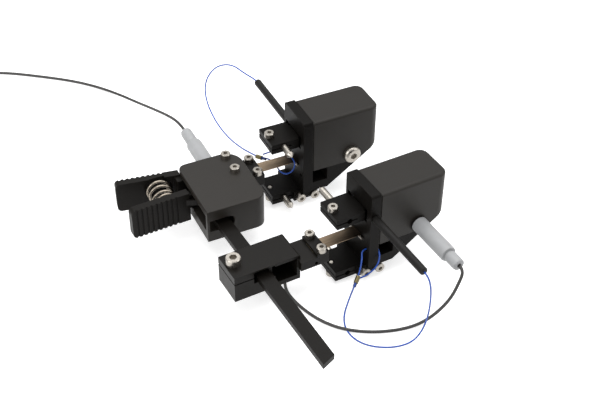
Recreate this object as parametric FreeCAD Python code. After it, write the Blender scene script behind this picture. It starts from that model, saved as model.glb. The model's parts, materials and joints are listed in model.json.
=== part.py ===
import FreeCAD, Part
import math
import os

os.makedirs("parts", exist_ok=True)
V = FreeCAD.Vector

# Clip-on extensometer with two measuring heads, in millimetres.
# Origin: centre of the gauge length on the specimen axis, midway between the contact tips.
# +X runs from the squeeze handles to the heads, +Y to the rear head, +Z up the specimen.

# Gauge and specimen
gauge_length = 25.0
specimen_gap = 22.6

# Heads, in head coordinates: x from the contact pins, y from the head's middle, z from mid gauge
rear_head_y = 23.67
front_head_y = -27.4
arm_width = 12.2
arm_thickness = 4.2
arm_side_offset = 0.7
arm_overhang = 5.15
arm_slit = 0.5
arm_slit_end = 3.3
arm_neck_width = 8.0
arm_neck_start = 6.2
arm_travel = 0.8
flange_x = 6.7
flange_thickness = 3.9
flange_overhang = 0.1
flange_top = 22.95
arm_pocket_depth = 1.2
arm_pocket_margin = 0.6
cover_width = 17.2
cover_length = 28.9
cover_top = 22.25
cover_wall = 1.4
cover_bottom = -0.7
cover_corner_radius = 3.6
cover_edge_round = 1.1
cover_right_bottom = 4.9
cover_groove_width = 0.6
cover_groove_depth = 0.35
base_foot_length = 6.7
base_window_length = 6.4
base_window_start = 0.2
base_window_bottom = -6.4
base_lug_margin = 0.6
cord_hole_d = 1.6
cord_hole_y = -6.4
cord_hole_z = -2.8
ear_thickness = 2.0
ear_length = 5.0
ear_top = 15.2
pivot_x = 20.0
pivot_d = 2.5
arm_root_end = 3.6
root_screw_x = [6.1, 12.1]
root_screw_z = -12.9
root_pad_thickness = 1.5
port_x = 27.7
port_z = 2.75
port_bore_d = 6.2
port_ring_d = 6.8
port_ring_height = 0.7
board_length = 10.0
board_height = 13.0
board_thickness = 1.2
board_standoff = 1.5
board_gap = 1.6
board_bottom = 4.4
board_post_d = 3.0
board_post_inset = 2.0
strip_thickness = 0.25
strip_width = 5.0
strip_x = 22.6

# Contact pieces
contact_d = 2.8
contact_shank_d = 2.2
contact_grip = 9.0
contact_point_length = 1.6
contact_point_d = 0.5

# Screws: shank, head diameter, head height, hexagon socket
m2_shank = 2.0
m2_head = 3.8
m2_height = 2.0
m2_socket = 1.5
m3_shank = 3.0
m3_head = 5.5
m3_height = 3.0
m3_socket = 2.5
screw_chamfer = 0.25
screw_tip_chamfer = 0.35
arm_screw_x = -3.5
port_screw_head = 7.2
port_screw_height = 2.2
port_screw_socket = 2.5
port_screw_round = 1.5

# Lock pins
lock_pin_d = 3.0
lock_pin_round = 0.6
lock_pin_nose_d = 1.5
lock_pin_nose = 2.0
lock_pin_standing = 31.0
lock_pin_rest_gap = 0.4
lock_pocket_play = 0.7
lock_pocket_length = 2.6
lock_pocket_depth = 2.1

# Leaf springs and their seats
leaf_z = 1.35
leaf_thickness = 0.3
leaf_width = 5.5
leaf_side_offset = -0.2
leaf_clamp_x = -13.3
leaf_clamp_length = 4.7
leaf_plate_thickness = 1.3
leaf_screw_spacing = 8.6
leaf_screw_margin = 1.45
leaf_screw_depth = 2.5
leaf_into_flange = 3.0
leaf_seat_thickness = 3.75
leaf_pin_d = 1.0
leaf_pin_length = 8.5

# Clamp body
body_x0 = -39.2
body_x1 = -14.9
body_y0 = 0.8
body_y1 = 31.6
body_bottom = -7.3
body_top = 6.8
body_floor = 4.4
body_roof = 2.6
body_front_wall = 1.6
body_rear_wall = 4.0
body_right_wall = 7.7
body_corner_front_right = 4.5
body_corner_rear_right = 7.0
body_corner_rear_left = 3.0
body_edge_round = 0.4
body_window_x0 = -38.3
body_window_x1 = -28.3
body_window_z0 = -2.75
body_window_z1 = 2.35
body_window_round = 2.3
body_screw_x = -20.1
body_screw_y = [19.7, 28.9]
seat_tail_x0 = -22.4
seat_tail_x1 = -18.0
seat_tail_y0 = 17.6
seat_tail_y1 = 30.2

# Lever pivot, handles and spring
pivot_pin_x = -27.5
pivot_pin_y = 14.0
pivot_pin_d = 4.0
pivot_pin_seat = 2.0
lever_rest_angle = 3.5
handle_bottom = -7.9
handle_top = 5.0
handle_thickness = 3.2
handle_end_x = -63.4
handle_corner = 1.8
rear_handle_angle = -9.2
rear_handle_y = 31.5
rear_lug_length = 10.0
rear_lug_thickness = 2.2
rear_lug_root = 2.2
rear_lug_rise = 1.2
handle_tuck = 2.0
front_handle_y = 16.9
front_handle_root = -40.0
rib_pitch = 2.0
rib_groove = 0.9
rib_depth = 0.5
rib_count = 9
rib_start = 1.6
link_thickness = 2.4
link_eye_d = 8.5
link_root = 1.5
neck_length = 3.5
neck_bottom = -2.5
neck_top = 3.8
neck_inset = 0.4
bar_head_half = 3.0
bar_head_side = 2.0
rivet_d = 1.6
rivet_places = [(-33.8, 15.4), (-31.8, 13.6)]
spring_x = -48.2
spring_z = 0.0
spring_d = 9.8
spring_wire = 1.1
spring_turns = 4
spring_corners = 8
spring_seat_gap = 0.05
spring_pocket_d = 11.6
spring_pocket_depth = 0.8

# Guide bar and slide block, in lever coordinates before the lever is turned to its rest angle
bar_x = -33.2
bar_width = 5.4
bar_z = -2.45
bar_thickness = 2.2
bar_end_right = -74.8
bar_end_left = -77.0
block_x0 = -45.0
block_x1 = -18.9
block_y0 = -30.8
block_y1 = -17.8
block_bottom = -8.0
block_top = 3.1
block_round = 0.8
block_floor = 2.0
block_slit = 0.5
block_slit_z = 0.05
block_mouth_x0 = -37.4
block_mouth_x1 = -29.0
block_mouth_z0 = -2.5
block_mouth_z1 = 2.5
block_mouth_depth = 2.5
block_pocket_x1 = -20.2
block_pocket_z0 = -6.0
block_pocket_z1 = 1.9
block_pocket_depth = 9.0
block_screw_x = -41.7
block_screw_y = -23.3
tongue_x1 = -8.6
tongue_front_hole_x = -13.7
tongue_front_hole_z = -1.1
tongue_front_hole_d = 1.4
tongue_hole_depth = 3.0

# Cables
plug_x = -24.9
plug_z = -0.9
plug_wide_d = 6.3
plug_wide_length = 19.9
plug_tail_d = 4.7
plug_tail_length = 9.0
plug_round = 0.8
front_plug_wide_length = 19.6
front_plug_tail_length = 6.4
cable_d = 1.2
coil_turn_d = 14.4
coil_row_turns = 5
coil_layer_count = 8
coil_spacing = 1.215
lead_run = 16.0
plug_seat_depth = 1.2
connector_d = 12.0
connector_length = 17.0
connector_grip_d = 10.0
connector_grip_length = 24.0
connector_wall = 1.2
connector_mouth = 11.0
connector_pin_root = 2.0
connector_pin_d = 1.0
connector_pins = [(-2.4, 0.0), (2.4, 0.0), (0.0, -2.4), (0.0, 2.4), (0.0, 0.0)]
coil_x = -150.5
coil_y = 132.0
cord_d = 0.6
crimp_d = 1.7
crimp_length = 2.8
cable_into_coil = 0.6

# Clearances
running = 0.05
sliding = 0.05
swing = 0.3

# How far a cutting shape runs past a face, and how deep two fused shapes sink into each other
past = 1.0
weld = 0.2
overlap = 0.01

half_gauge = gauge_length / 2
arm_bottom = half_gauge - arm_thickness / 2
arm_top = half_gauge + arm_thickness / 2
floor_z = -arm_top - m2_height
flange_x1 = flange_x + flange_thickness
flange_width = cover_width + 2 * flange_overhang
cover_x1 = flange_x1 + cover_length
arm_y0 = arm_side_offset - arm_width / 2
arm_y1 = arm_side_offset + arm_width / 2
base_lug_thickness = flange_width / 2 - arm_y1
cable_rest_z = floor_z + cable_d / 2
cord_rest_z = floor_z + cord_d / 2
leaf_clamp_width = leaf_screw_spacing + 2 * leaf_screw_margin
lock_x = flange_x + flange_thickness / 2
coil_half_width = (coil_row_turns - 1) * coil_spacing / 2 + cable_d / 2
coil_height = (coil_layer_count - 1) * coil_spacing + cable_d
coil_outer_turn = coil_turn_d / 2 + coil_half_width - cable_d / 2
coil_top_turn_z = floor_z + coil_height - cable_d / 2
connector_x = coil_x - coil_outer_turn
connector_y = coil_y - lead_run
connector_z = floor_z + connector_d / 2


# Small shapes
def block(x0, x1, y0, y1, z0, z1):
    return Part.makeBox(x1 - x0, y1 - y0, z1 - z0, V(x0, y0, z0))


def rod(start, direction, diameter, length):
    return Part.makeCylinder(diameter / 2, length, start, direction)


def prism_y(points, y0, y1):
    """Prism along Y over an outline given as (x, z)."""
    corners = [V(x, y0, z) for x, z in points]
    face = Part.Face(Part.makePolygon(corners + corners[:1]))
    return face.extrude(V(0, y1 - y0, 0))


def prism_z(points, z0, z1):
    """Prism along Z over an outline given as (x, y)."""
    corners = [V(x, y, z0) for x, y in points]
    face = Part.Face(Part.makePolygon(corners + corners[:1]))
    return face.extrude(V(0, 0, z1 - z0))


def edges_along(shape, axis, test):
    """Straight edges along one axis whose middle passes the test."""
    found = []
    for edge in shape.Edges:
        if len(edge.Vertexes) < 2:
            continue
        run = edge.Vertexes[1].Point - edge.Vertexes[0].Point
        if run.Length < 0.01 or abs(abs(run.dot(axis)) - run.Length) > 0.001:
            continue
        middle = (edge.Vertexes[1].Point + edge.Vertexes[0].Point) / 2
        if test(middle):
            found.append(edge)
    return found


def near(a, b):
    return abs(a - b) < 0.01


def socket_screw(seat, outward, shank, head, height, socket, length, rim_round=0.0):
    """Cap screw: the head stands outward from its seat, the shank goes the other way."""
    body = rod(seat, outward, head, height)
    rim = [edge for edge in body.Edges if edge.Vertexes[0].Point.sub(seat).dot(outward) > height / 2]
    if rim_round > 0:
        body = body.makeFillet(rim_round, rim[:1])
    else:
        body = body.makeChamfer(screw_chamfer, rim[:1])
    tip_place = seat - outward * length
    stem = rod(tip_place, outward, shank, length + height / 4)
    tip = [edge for edge in stem.Edges if edge.Vertexes[0].Point.sub(tip_place).dot(outward) < length / 2]
    body = body.fuse(stem.makeChamfer(screw_tip_chamfer, tip[:1]))
    recess = hexagon(seat + outward * (height * 0.45), outward, socket, height)
    return body.cut(recess)


def hexagon(centre, direction, across_flats, depth):
    points = []
    side = direction.cross(V(1, 0, 0))
    if side.Length < 0.5:
        side = direction.cross(V(0, 1, 0))
    side = side.normalize()
    other = direction.cross(side).normalize()
    radius = across_flats / math.sqrt(3)
    for step in range(6):
        angle = math.radians(60 * step)
        points.append(centre + side * (radius * math.cos(angle)) + other * (radius * math.sin(angle)))
    face = Part.Face(Part.makePolygon(points + points[:1]))
    return face.extrude(direction * depth)


def group(shapes):
    return Part.makeCompound(shapes)


def save(name, shape):
    shape.exportStep("parts/" + name + ".step")
    print(name, "volume", round(shape.Volume, 1), "solids", len(shape.Solids))


# A cord's tube: straight runs joined by tangent arcs
def cord_tube(name, points, diameter):
    edges = []
    radii = []
    start = points[0]
    for before, corner, after in zip(points, points[1:], points[2:]):
        arrive = (corner - before).normalize()
        leave = (after - corner).normalize()
        turn = arrive.getAngle(leave)
        shorter = min((corner - before).Length, (after - corner).Length)
        radius = 0.45 * shorter / math.tan(turn / 2)
        radii.append(round(radius, 1))
        setback = 0.45 * shorter
        arc_start = corner - arrive * setback
        arc_end = corner + leave * setback
        inward = (leave - arrive).normalize()
        middle = corner + inward * (radius / math.cos(turn / 2) - radius)
        edges.append(Part.LineSegment(start, arc_start).toShape())
        edges.append(Part.Arc(arc_start, middle, arc_end).toShape())
        start = arc_end
    edges.append(Part.LineSegment(start, points[-1]).toShape())
    path = Part.Wire(edges)
    along = (points[1] - points[0]).normalize()
    section = Part.Wire([Part.makeCircle(diameter / 2, points[0], along)])
    tube = path.makePipeShell([section], True, False)
    expected = math.pi * diameter ** 2 / 4 * path.Length
    print(name, "length", round(path.Length, 1), "radii", radii,
          "volume ratio", round(tube.Volume / expected, 4))
    save(name, tube)
    return path.Length


# Measuring head, built in head coordinates
slope_x0 = flange_x1 + base_foot_length
slope_rise = cover_right_bottom + arm_bottom
slope_run = cover_x1 - slope_x0


def slope_x(z, inset=0.0):
    """Place where the sloping underside, moved inward by inset, crosses height z."""
    shift = inset * math.hypot(slope_rise, slope_run) / slope_rise
    return slope_x0 + (z + arm_bottom) * slope_run / slope_rise - shift


def slope_z(x, inset):
    """Height of the sloping underside, moved inward by inset, at x."""
    shift = inset * math.hypot(slope_rise, slope_run) / slope_rise
    return (x - slope_x0 + shift) * slope_rise / slope_run - arm_bottom


def head_base():
    half = flange_width / 2
    foot_half = cover_width / 2
    base = block(flange_x, flange_x1, -half, half, -arm_bottom, flange_top)
    outer = edges_along(base, V(1, 0, 0), lambda p: p.z > 0)
    base = base.makeFillet(cover_edge_round, outer)
    foot = prism_y([(flange_x1, -arm_bottom), (flange_x1 + base_foot_length, -arm_bottom),
                    (slope_x(cover_bottom), cover_bottom), (flange_x1, cover_bottom)],
                   -foot_half, foot_half)
    base = base.fuse(foot)
    window_x0 = flange_x1 + base_window_start
    base = base.cut(block(window_x0, window_x0 + base_window_length, -half - past, half + past,
                          base_window_bottom, cover_bottom))
    # Hole from the flange's left face into the window, for the safety cord's loop
    base = base.cut(rod(V(flange_x - past, cord_hole_y, cord_hole_z), V(1, 0, 0), cord_hole_d,
                        flange_thickness + base_window_start + 2 * past))
    # Pocket and through window for the measuring arm
    pocket = block(flange_x - past, flange_x + arm_pocket_depth, arm_y0 - arm_pocket_margin,
                   arm_y1 + arm_pocket_margin, arm_bottom - arm_travel, arm_top + arm_travel)
    window_half = arm_neck_width / 2 + lock_pin_rest_gap
    window = block(flange_x - past, flange_x1 + past, -window_half, window_half,
                   arm_bottom - arm_travel, arm_top + arm_travel)
    base = base.cut(pocket).cut(window)
    # Ears that carry the measuring arm's pivot
    ear_inner = arm_neck_width / 2 + swing
    for side in (-1, 1):
        y0 = min(side * ear_inner, side * (ear_inner + ear_thickness))
        ear = block(pivot_x - ear_length / 2, pivot_x + ear_length / 2, y0, y0 + ear_thickness,
                    cover_bottom - past, ear_top)
        base = base.fuse(ear)
    base = base.cut(rod(V(pivot_x, -half, half_gauge), V(0, 1, 0), pivot_d, 2 * half))
    # Slot for the leaf spring
    leaf_half = leaf_width / 2
    base = base.cut(block(flange_x - past, flange_x + leaf_into_flange, leaf_side_offset - leaf_half,
                          leaf_side_offset + leaf_half, leaf_z, leaf_z + leaf_thickness))
    # Lug behind the lower arm that takes the root screws
    lug_left = root_screw_x[0] - m2_head / 2 - base_lug_margin
    lug_right = root_screw_x[1] + m2_head / 2
    base = base.fuse(block(lug_left, lug_right, arm_y1, arm_y1 + base_lug_thickness,
                           -arm_top, -arm_bottom + overlap))
    for x in root_screw_x:
        base = base.cut(rod(V(x, arm_y1 - past, root_screw_z), V(0, 1, 0), m2_shank,
                            base_lug_thickness + 2 * past))
    return base


def cover_outline(inset):
    """Side outline of the cover; the open left and bottom edges are not inset."""
    right = cover_x1 - inset
    bottom = cover_bottom if inset == 0 else cover_bottom - past
    left = flange_x1 if inset == 0 else flange_x1 - past
    return [(left, bottom), (slope_x(bottom, inset), bottom), (right, slope_z(right, inset)),
            (right, cover_top - inset), (left, cover_top - inset)]


def head_cover():
    half = cover_width / 2
    cover = prism_y(cover_outline(0), -half, half)
    corners = edges_along(cover, V(0, 0, 1), lambda p: near(p.x, cover_x1))
    cover = cover.makeFillet(cover_corner_radius, corners)
    top_edges = [edge for edge in cover.Edges
                 if near(edge.BoundBox.ZMin, cover_top) and edge.BoundBox.XMax > flange_x1 + cover_groove_width]
    cover = cover.makeFillet(cover_edge_round, top_edges)
    cover = cover.cut(prism_y(cover_outline(cover_wall), -half + cover_wall, half - cover_wall))
    groove_x1 = flange_x1 + cover_groove_width
    deep = cover_groove_depth
    ring = block(flange_x1 - past, groove_x1, -half - past, half + past, cover_bottom - past, cover_top + past)
    ring = ring.cut(block(flange_x1 - past, groove_x1, -half + deep, half - deep,
                          cover_bottom - past, cover_top - deep))
    cover = cover.cut(ring)
    return cover.cut(rod(V(port_x, -half - past, port_z), V(0, 1, 0), m3_shank, cover_wall + past))


def measuring_arm(side):
    """Upper arm: slit clamp at the tip, neck through the flange, eye on the pivot."""
    arm = block(-arm_overhang, arm_neck_start, arm_y0, arm_y1, arm_bottom, arm_top)
    half = arm_neck_width / 2
    arm = arm.fuse(block(arm_neck_start - past, pivot_x + arm_root_end, -half, half, arm_bottom, arm_top))
    arm = arm.cut(rod(V(pivot_x, -half - past, half_gauge), V(0, 1, 0), pivot_d + 2 * running,
                      arm_neck_width + 2 * past))
    arm = slit_and_bore(arm, half_gauge)
    # Pocket for the lock pin's nose, taller than the nose by the arm's travel
    pocket_half = lock_pin_nose_d / 2 + lock_pocket_play
    pocket_y = sorted([side * (half - lock_pocket_depth), side * (half + past)])
    return arm.cut(block(lock_x - lock_pocket_length / 2, lock_x + lock_pocket_length / 2, *pocket_y,
                         half_gauge - pocket_half, half_gauge + pocket_half))


def slit_and_bore(arm, z):
    arm = arm.cut(block(-arm_overhang - past, arm_slit_end, arm_y0 - past, arm_y1 + past,
                        z - arm_slit / 2, z + arm_slit / 2))
    arm = arm.cut(rod(V(0, arm_y0 - past, z), V(0, 1, 0), contact_shank_d, arm_width + 2 * past))
    return arm.cut(rod(V(arm_screw_x, arm_side_offset, z - arm_thickness), V(0, 0, 1), m2_shank,
                       2 * arm_thickness))


def fixed_arm():
    """Lower arm, screwed to the base's lug."""
    right = root_screw_x[1] + m2_head / 2
    left = root_screw_x[0] - m2_head / 2 - base_lug_margin
    arm = block(-arm_overhang, right, arm_y0, arm_y1, -arm_top, -arm_bottom)
    arm = slit_and_bore(arm, -half_gauge)
    arm = arm.fuse(block(left, right, arm_y0 - root_pad_thickness, arm_y0, -arm_top, -arm_bottom))
    for x in root_screw_x:
        arm = arm.cut(rod(V(x, arm_y0 - root_pad_thickness - past, root_screw_z), V(0, 1, 0), m2_shank,
                          arm_width + root_pad_thickness + 2 * past))
    return arm


def contact_piece(z, face_y, direction, reach):
    """Shouldered pin with a conical point; its shank sits in the arm's bore."""
    outward = V(0, direction, 0)
    shank = rod(V(0, face_y - direction * contact_grip, z), outward, contact_shank_d, contact_grip + overlap)
    body_length = reach - contact_point_length
    body = rod(V(0, face_y, z), outward, contact_d, body_length)
    point = Part.makeCone(contact_d / 2, contact_point_d / 2, contact_point_length,
                          V(0, face_y + direction * body_length, z), outward)
    return shank.fuse([body, point])


def lock_pin(side):
    """Rod with a softened outer end and a thin nose that enters the measuring arm."""
    nose_y = arm_neck_width / 2 + 2 * lock_pin_rest_gap
    body_y = nose_y + lock_pin_nose
    end_y = flange_width / 2 + lock_pin_standing
    direction = V(0, side, 0)
    pin = rod(V(lock_x, side * body_y, half_gauge), direction, lock_pin_d, end_y - body_y)
    rim = [edge for edge in pin.Edges if side * edge.BoundBox.Center.y > end_y - 0.1]
    pin = pin.makeFillet(lock_pin_round, rim)
    nose = rod(V(lock_x, side * nose_y, half_gauge), direction, lock_pin_nose_d, lock_pin_nose + weld)
    return pin.fuse(nose)


def port_ring():
    y = -cover_width / 2 - port_ring_height
    ring = rod(V(port_x, y, port_z), V(0, 1, 0), port_ring_d, port_ring_height)
    return ring.cut(rod(V(port_x, y - past, port_z), V(0, 1, 0), port_bore_d, port_ring_height + 2 * past))


def build_head(name, place, lock_side, contact_side, has_plug):
    half = cover_width / 2
    base = head_base()
    base = base.cut(rod(V(lock_x, 0, half_gauge), V(0, lock_side, 0), lock_pin_d + 2 * sliding,
                        flange_width))
    cover = head_cover()
    face_y = arm_y1 if contact_side > 0 else arm_y0
    head_y = front_head_y if contact_side > 0 else rear_head_y
    reach = abs(head_y) - specimen_gap / 2 - abs(face_y)
    pieces = {}
    pieces["base"] = base
    pieces["cover"] = cover
    pieces["lower_arm"] = fixed_arm()
    pieces["lower_contact"] = contact_piece(-half_gauge, face_y, contact_side, reach)
    pieces["lower_arm_screw"] = socket_screw(V(arm_screw_x, arm_side_offset, -arm_top), V(0, 0, -1),
                                             m2_shank, m2_head, m2_height, m2_socket, arm_thickness)
    pieces["root_screws"] = group([
        socket_screw(V(x, arm_y0 - root_pad_thickness, root_screw_z), V(0, -1, 0), m2_shank, m2_head,
                     m2_height, m2_socket, arm_width + root_pad_thickness + base_lug_thickness)
        for x in root_screw_x])
    pieces["pivot"] = rod(V(pivot_x, -arm_neck_width / 2 - swing - ear_thickness, half_gauge),
                          V(0, 1, 0), pivot_d, arm_neck_width + 2 * swing + 2 * ear_thickness)
    board_y = half - cover_wall - board_standoff
    board_x = pivot_x + ear_length / 2 + board_gap
    board_top = board_bottom + board_height
    board = block(board_x, board_x + board_length, board_y - board_thickness, board_y, board_bottom, board_top)
    for z in (board_bottom + board_post_inset, board_top - board_post_inset):
        board = board.fuse(rod(V(board_x + board_length / 2, board_y, z), V(0, 1, 0), board_post_d,
                               board_standoff))
    pieces["board"] = board
    pieces["leaf_pin"] = rod(V(flange_x - leaf_pin_d / 2, leaf_side_offset - leaf_pin_length / 2,
                               leaf_z - leaf_pin_d / 2), V(0, 1, 0), leaf_pin_d, leaf_pin_length)
    pieces["upper_arm"] = measuring_arm(lock_side)
    pieces["upper_contact"] = contact_piece(half_gauge, face_y, contact_side, reach)
    pieces["upper_arm_screw"] = socket_screw(V(arm_screw_x, arm_side_offset, arm_top), V(0, 0, 1),
                                             m2_shank, m2_head, m2_height, m2_socket, arm_thickness)
    pieces["sensing_strip"] = block(strip_x - strip_thickness / 2, strip_x + strip_thickness / 2,
                                    -strip_width / 2, strip_width / 2, cover_bottom, arm_bottom)
    pieces["lock_pin"] = lock_pin(lock_side)
    if has_plug:
        pieces["port_ring"] = port_ring()
        pieces["cover"] = cover.cut(rod(V(port_x, -half - past, port_z), V(0, 1, 0), port_bore_d,
                                        cover_wall + past))
        plug = rod(V(port_x, -half + cover_wall, port_z), V(0, -1, 0), port_bore_d,
                   front_plug_wide_length + cover_wall)
        tail_start = V(port_x, -half - front_plug_wide_length, port_z)
        pieces["plug"] = plug_shape(plug, tail_start, V(0, -1, 0), plug_tail_d, front_plug_tail_length)
    else:
        screw = socket_screw(V(port_x, -half, port_z), V(0, -1, 0), m3_shank, port_screw_head,
                             port_screw_height, port_screw_socket, cover_wall + 2 * past, port_screw_round)
        pieces["port_screw"] = screw
    for piece, shape in pieces.items():
        save(name + "_" + piece, place(shape))


def plug_shape(sleeve, tail_start, direction, tail_d, tail_length):
    """Round the sleeve's outer rim and add the thinner strain-relief tail."""
    rim = []
    for edge in sleeve.Edges:
        centre = edge.BoundBox.Center
        if len(edge.Vertexes) == 1 and centre.sub(tail_start).Length < 0.1:
            rim.append(edge)
    sleeve = sleeve.makeFillet(plug_round, rim)
    tail = rod(tail_start - direction * past, direction, tail_d, tail_length + past)
    end = tail_start + direction * tail_length
    tip = [edge for edge in tail.Edges
           if len(edge.Vertexes) == 1 and edge.BoundBox.Center.sub(end).Length < 0.1]
    tail = tail.makeFillet(plug_round, tip)
    return sleeve.fuse(tail)


# Placing: the rear head stands on the clamp, the front head on the lever's slide
def place_rear(shape):
    moved = shape.copy()
    moved.translate(V(0, rear_head_y, 0))
    return moved


def turn_lever(shape):
    moved = shape.copy()
    moved.rotate(V(pivot_pin_x, pivot_pin_y, 0), V(0, 0, 1), lever_rest_angle)
    return moved


def place_front(shape):
    moved = shape.copy()
    moved.translate(V(0, front_head_y, 0))
    return turn_lever(moved)


def turn_point(point):
    """Where a point of the lever stands with the lever at rest."""
    angle = math.radians(lever_rest_angle)
    dx = point.x - pivot_pin_x
    dy = point.y - pivot_pin_y
    return V(pivot_pin_x + dx * math.cos(angle) - dy * math.sin(angle),
             pivot_pin_y + dx * math.sin(angle) + dy * math.cos(angle), point.z)


# Leaf spring, its seat plate and screws, around a middle line at y
def leaf_parts(name, y, place):
    half = leaf_clamp_width / 2
    x1 = leaf_clamp_x + leaf_clamp_length
    leaf = block(leaf_clamp_x, flange_x + leaf_into_flange, y - leaf_width / 2, y + leaf_width / 2,
                 leaf_z, leaf_z + leaf_thickness)
    plate = block(leaf_clamp_x, x1, y - half, y + half, leaf_z, leaf_z + leaf_plate_thickness)
    plate = plate.cut(block(leaf_clamp_x - 1, x1 + 1, y - leaf_width / 2, y + leaf_width / 2,
                            leaf_z, leaf_z + leaf_thickness))
    screws = []
    for side in (-1, 1):
        seat = V(leaf_clamp_x + leaf_clamp_length / 2, y + side * leaf_screw_spacing / 2,
                 leaf_z + leaf_plate_thickness)
        plate = plate.cut(rod(seat, V(0, 0, -1), m2_shank, leaf_plate_thickness))
        screws.append(socket_screw(seat, V(0, 0, 1), m2_shank, m2_head, m2_height, m2_socket,
                                   leaf_plate_thickness + leaf_screw_depth))
    save(name + "_leaf_spring", place(leaf))
    save(name + "_leaf_plate", place(plate))
    save(name + "_leaf_screws", place(group(screws)))


def leaf_screw_holes(shape, y):
    for side in (-1, 1):
        start = V(leaf_clamp_x + leaf_clamp_length / 2, y + side * leaf_screw_spacing / 2, leaf_z)
        shape = shape.cut(rod(start, V(0, 0, -1), m2_shank, leaf_screw_depth))
    return shape


# Clamp body: a case open to the left, with a window for the guide bar in its front wall
def clamp_body():
    body = block(body_x0, body_x1, body_y0, body_y1, body_bottom, body_top)
    corner_radii = [
        (body_x1, body_y0, body_corner_front_right),
        (body_x1, body_y1, body_corner_rear_right),
        (body_x0, body_y1, body_corner_rear_left),
    ]
    for x, y, radius in corner_radii:
        corner = edges_along(body, V(0, 0, 1), lambda p: near(p.x, x) and near(p.y, y))
        body = body.makeFillet(radius, corner)
    top_edges = [edge for edge in body.Edges if near(edge.BoundBox.ZMin, body_top)]
    body = body.makeFillet(body_edge_round, top_edges)
    cavity_x1 = body_x1 - body_right_wall
    cavity = block(body_x0 - past, cavity_x1, body_y0 + body_front_wall, body_y1 - body_rear_wall,
                   body_bottom + body_floor, body_top - body_roof)
    body = body.cut(cavity)
    window = block(body_window_x0, body_window_x1, body_y0 - past, body_y0 + body_front_wall + past,
                   body_window_z0, body_window_z1)
    end = edges_along(window, V(0, 1, 0), lambda p: near(p.x, body_window_x1))
    window = window.makeFillet(body_window_round, end)
    body = body.cut(window)
    body = body.cut(leaf_seat_outline())
    pin_bottom = body_bottom + pivot_pin_seat
    pin_top = body_top - pivot_pin_seat / 2
    body = body.cut(rod(V(pivot_pin_x, pivot_pin_y, pin_bottom), V(0, 0, 1), pivot_pin_d,
                        pin_top - pin_bottom))
    for y in body_screw_y:
        body = body.cut(rod(V(body_screw_x, y, leaf_z), V(0, 0, 1), m2_shank, body_top - leaf_z + past))
    return body.cut(rod(V(plug_x, body_y1 - plug_seat_depth, plug_z), V(0, 1, 0), plug_wide_d,
                        plug_seat_depth + past))


def leaf_seat_outline():
    """The rear leaf's seat: a wide tail inside the right wall and a neck that stands out."""
    y = rear_head_y + leaf_side_offset
    half = leaf_clamp_width / 2
    bottom = leaf_z - leaf_seat_thickness
    tail = block(seat_tail_x0, seat_tail_x1, seat_tail_y0, seat_tail_y1, bottom, leaf_z)
    neck = block(seat_tail_x1 - overlap, leaf_clamp_x + leaf_clamp_length, y - half, y + half, bottom, leaf_z)
    return tail.fuse(neck)


def body_screws():
    screws = []
    for y in body_screw_y:
        screws.append(socket_screw(V(body_screw_x, y, body_top), V(0, 0, 1), m2_shank, m2_head,
                                   m2_height, m2_socket, body_top - leaf_z + leaf_screw_depth))
    return group(screws)


def leaf_seat():
    seat = leaf_screw_holes(leaf_seat_outline(), rear_head_y + leaf_side_offset)
    for y in body_screw_y:
        seat = seat.cut(rod(V(body_screw_x, y, leaf_z), V(0, 0, -1), m2_shank, leaf_screw_depth))
    return seat


# Handles: flat plates with grooves across their outer faces
def grooved_plate(x0, x1, outer_y, outward):
    """Plate along X; outward is the side, -1 or 1, that the grooved face looks to."""
    inner_y = outer_y - outward * handle_thickness
    plate = block(x0, x1, min(inner_y, outer_y), max(inner_y, outer_y), handle_bottom, handle_top)
    ends = edges_along(plate, V(0, 1, 0), lambda p: near(p.x, x0))
    plate = plate.makeFillet(handle_corner, ends)
    for step in range(rib_count):
        groove_x = x0 + rib_start + step * rib_pitch
        deep_y = outer_y - outward * rib_depth
        groove = block(groove_x, groove_x + rib_groove, *sorted([deep_y, outer_y + outward * past]),
                       handle_bottom - past, handle_top + past)
        plate = plate.cut(groove)
    return plate


def handle_inner_y(x):
    """Inner face of the rear handle at x."""
    slope = math.tan(math.radians(rear_handle_angle))
    return rear_handle_y + (x - body_x0) * slope - handle_thickness / math.cos(
        math.radians(rear_handle_angle))


def rear_handle():
    length = (body_x0 - handle_end_x) / math.cos(math.radians(rear_handle_angle))
    plate = grooved_plate(body_x0 - length, body_x0 + handle_tuck, rear_handle_y, 1)
    plate.rotate(V(body_x0, rear_handle_y, 0), V(0, 0, 1), rear_handle_angle)
    plate = plate.cut(block(body_x0, body_x1, body_y0, body_y1 + handle_thickness,
                            handle_bottom - past, handle_top + past))
    lug_y1 = body_y1 - body_rear_wall
    lug_z = [body_bottom + body_floor, body_top - body_roof]
    lug = block(body_x0 - rear_lug_root, body_x0 + rear_lug_length, lug_y1 - rear_lug_thickness, lug_y1, *lug_z)
    fill = block(body_x0 - rear_lug_root, body_x0, lug_y1 - rear_lug_thickness, lug_y1 + rear_lug_rise, *lug_z)
    y = handle_inner_y(spring_x) + spring_pocket_depth
    pocket = rod(V(spring_x, y, spring_z), V(0, -1, 0), spring_pocket_d, handle_thickness)
    return plate.fuse(lug).fuse(fill).cut(pocket)


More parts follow.
